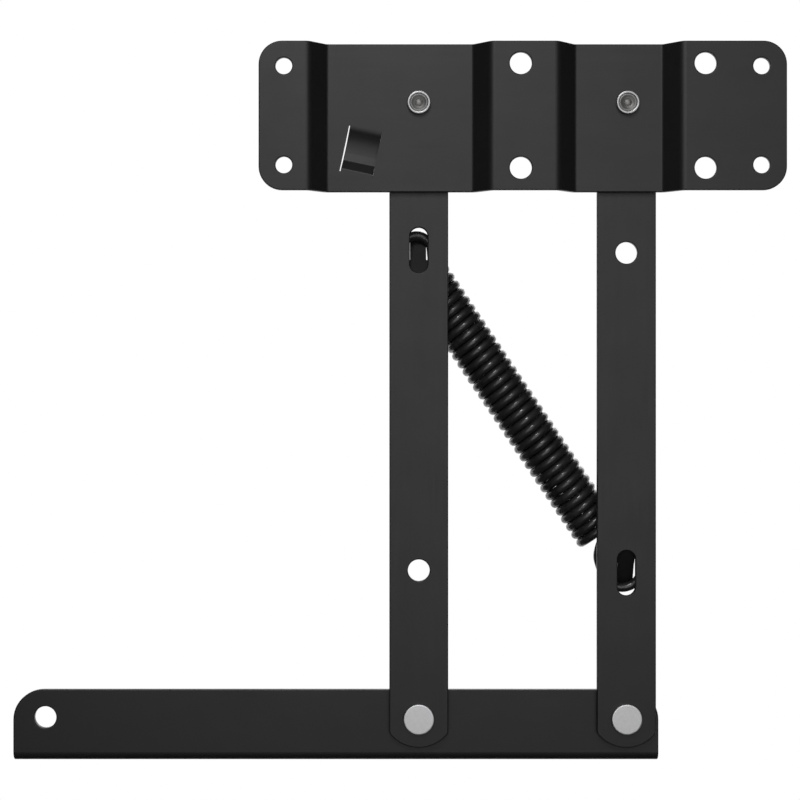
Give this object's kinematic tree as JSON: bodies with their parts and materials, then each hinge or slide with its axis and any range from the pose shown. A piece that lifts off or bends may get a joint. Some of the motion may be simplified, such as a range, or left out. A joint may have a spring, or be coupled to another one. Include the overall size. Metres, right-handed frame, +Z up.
{
  "type": "spring linkage wall bracket",
  "caption": "Black steel wall bracket: a pressed mounting plate carries a level lower rail on parallel links, drawn back by a diagonal extension spring.",
  "frame": {"origin": "centre of the four small mounting holes, on the mounting face of the base plate", "axes": "+X along the plate towards the narrow pan, +Y away from the mounting surface, +Z up"},
  "size_m": [0.3322, 0.0422, 0.3092],
  "materials": {
    "black_powder_coat": "satin black powder coat",
    "zinc_plated_steel": "zinc plated, satin",
    "pivot_washer": "black nylon",
    "black_spring_wire": "glossy black enamel"
  },
  "bodies": {
    "base": {"base_plate": "black_powder_coat", "upper_left_rivet": "zinc_plated_steel", "upper_right_rivet": "zinc_plated_steel", "upper_left_washer": "pivot_washer", "upper_right_washer": "pivot_washer"},
    "left_arm": {"left_link": "black_powder_coat"},
    "right_arm": {"right_link": "black_powder_coat"},
    "rail": {"lower_rail": "black_powder_coat", "lower_left_rivet": "zinc_plated_steel", "lower_right_rivet": "zinc_plated_steel", "lower_left_washer": "pivot_washer", "lower_right_washer": "pivot_washer"},
    "spring_top": {"spring_upper_half": "black_spring_wire"},
    "spring_bottom": {"spring_lower_half": "black_spring_wire"}
  },
  "joints": [
    {"name": "linkage_swing", "type": "hinge", "parent": "base", "child": "left_arm", "pos_m": [-0.0441, 0.0121, 0.00645], "axis": [0, -1, 0], "range_deg": [-12, 68], "stiffness_Nm_per_rad": 6},
    {"name": "right_link_swing", "type": "hinge", "parent": "base", "child": "right_arm", "pos_m": [0.0455, 0.0121, 0.00645], "axis": [0, -1, 0], "range_deg": [-12, 68]},
    {"name": "rail_level", "type": "hinge", "parent": "left_arm", "child": "rail", "pos_m": [-0.0441, 0.0121, -0.25855], "axis": [0, -1, 0], "range_deg": [-68, 12]},
    {"name": "spring_swing", "type": "hinge", "parent": "left_arm", "child": "spring_top", "pos_m": [-0.04507, 0.01735, -0.05605], "axis": [0, -1, 0], "range_deg": [-24.4, 4.4], "deforming": ["spring_upper_half"]},
    {"name": "spring_stretch", "type": "slide", "parent": "spring_top", "child": "spring_bottom", "axis": [0.544, 0, -0.8391], "range_m": [-0.0105, 0.0592], "deforming": ["spring_lower_half"]}
  ],
  "couplings": [
    {"joint": "right_link_swing", "follows": "linkage_swing", "ratio": 1},
    {"joint": "rail_level", "follows": "linkage_swing", "ratio": -1},
    {"joint": "spring_swing", "follows": "linkage_swing", "ratio": -0.3585},
    {"joint": "spring_stretch", "follows": "linkage_swing", "m_per_rad": 0.04983}
  ]
}
